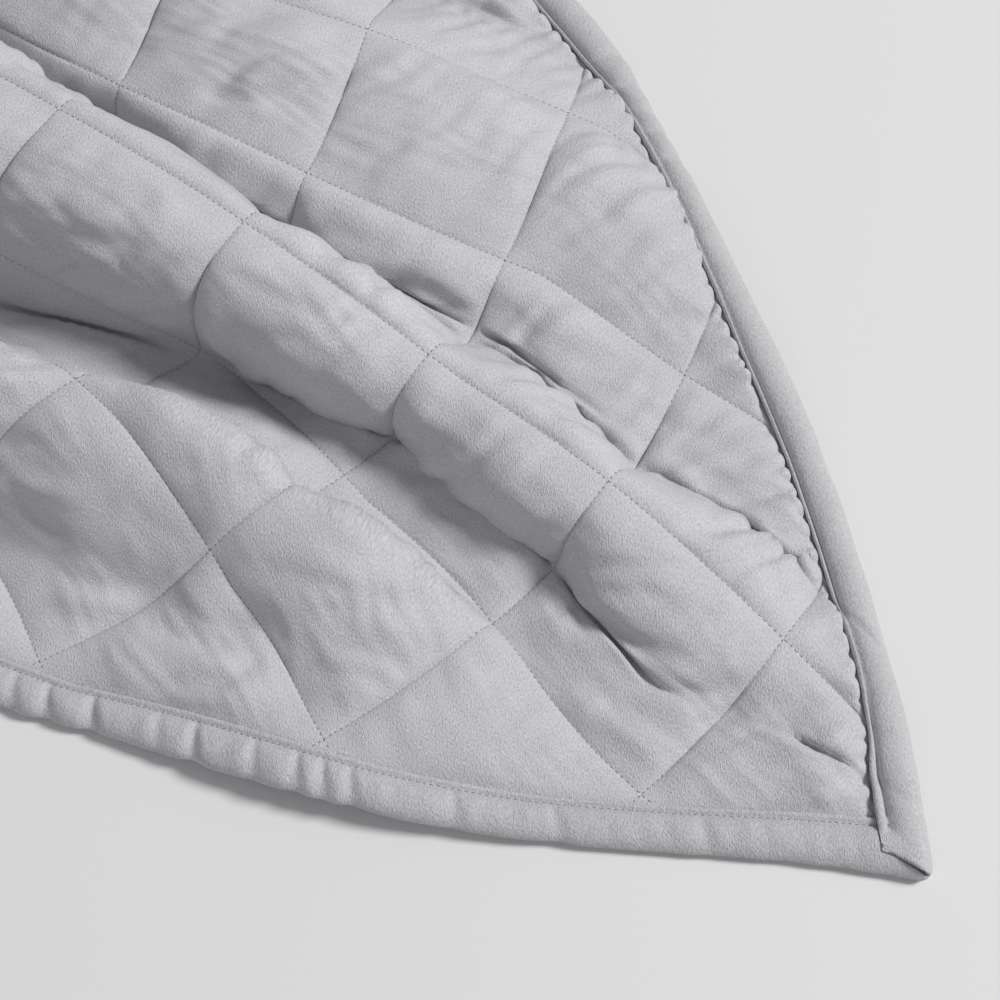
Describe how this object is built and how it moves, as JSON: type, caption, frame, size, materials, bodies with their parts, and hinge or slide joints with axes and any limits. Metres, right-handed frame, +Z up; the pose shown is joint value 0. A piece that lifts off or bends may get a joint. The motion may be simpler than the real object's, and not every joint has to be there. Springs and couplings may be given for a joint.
{
  "type": "quilted blanket",
  "caption": "Small diamond-quilted blanket with a folded binding round its edges, lying in loose diagonal folds with one corner flat.",
  "frame": {"origin": "on the floor under the middle of the blanket's box as it lies", "axes": "+Z up from the floor, +Y away from the bottom edge, +X towards the right edge"},
  "size_m": [0.9482, 0.988, 0.1001],
  "materials": {
    "quilt_cloth": "soft matt crepe weave",
    "binding_cloth": "soft matt crepe weave"
  },
  "bodies": {
    "root": {"quilt_panel": "quilt_cloth", "binding_bottom": "binding_cloth", "binding_right": "binding_cloth", "binding_top": "binding_cloth", "binding_left": "binding_cloth"}
  },
  "joints": []
}
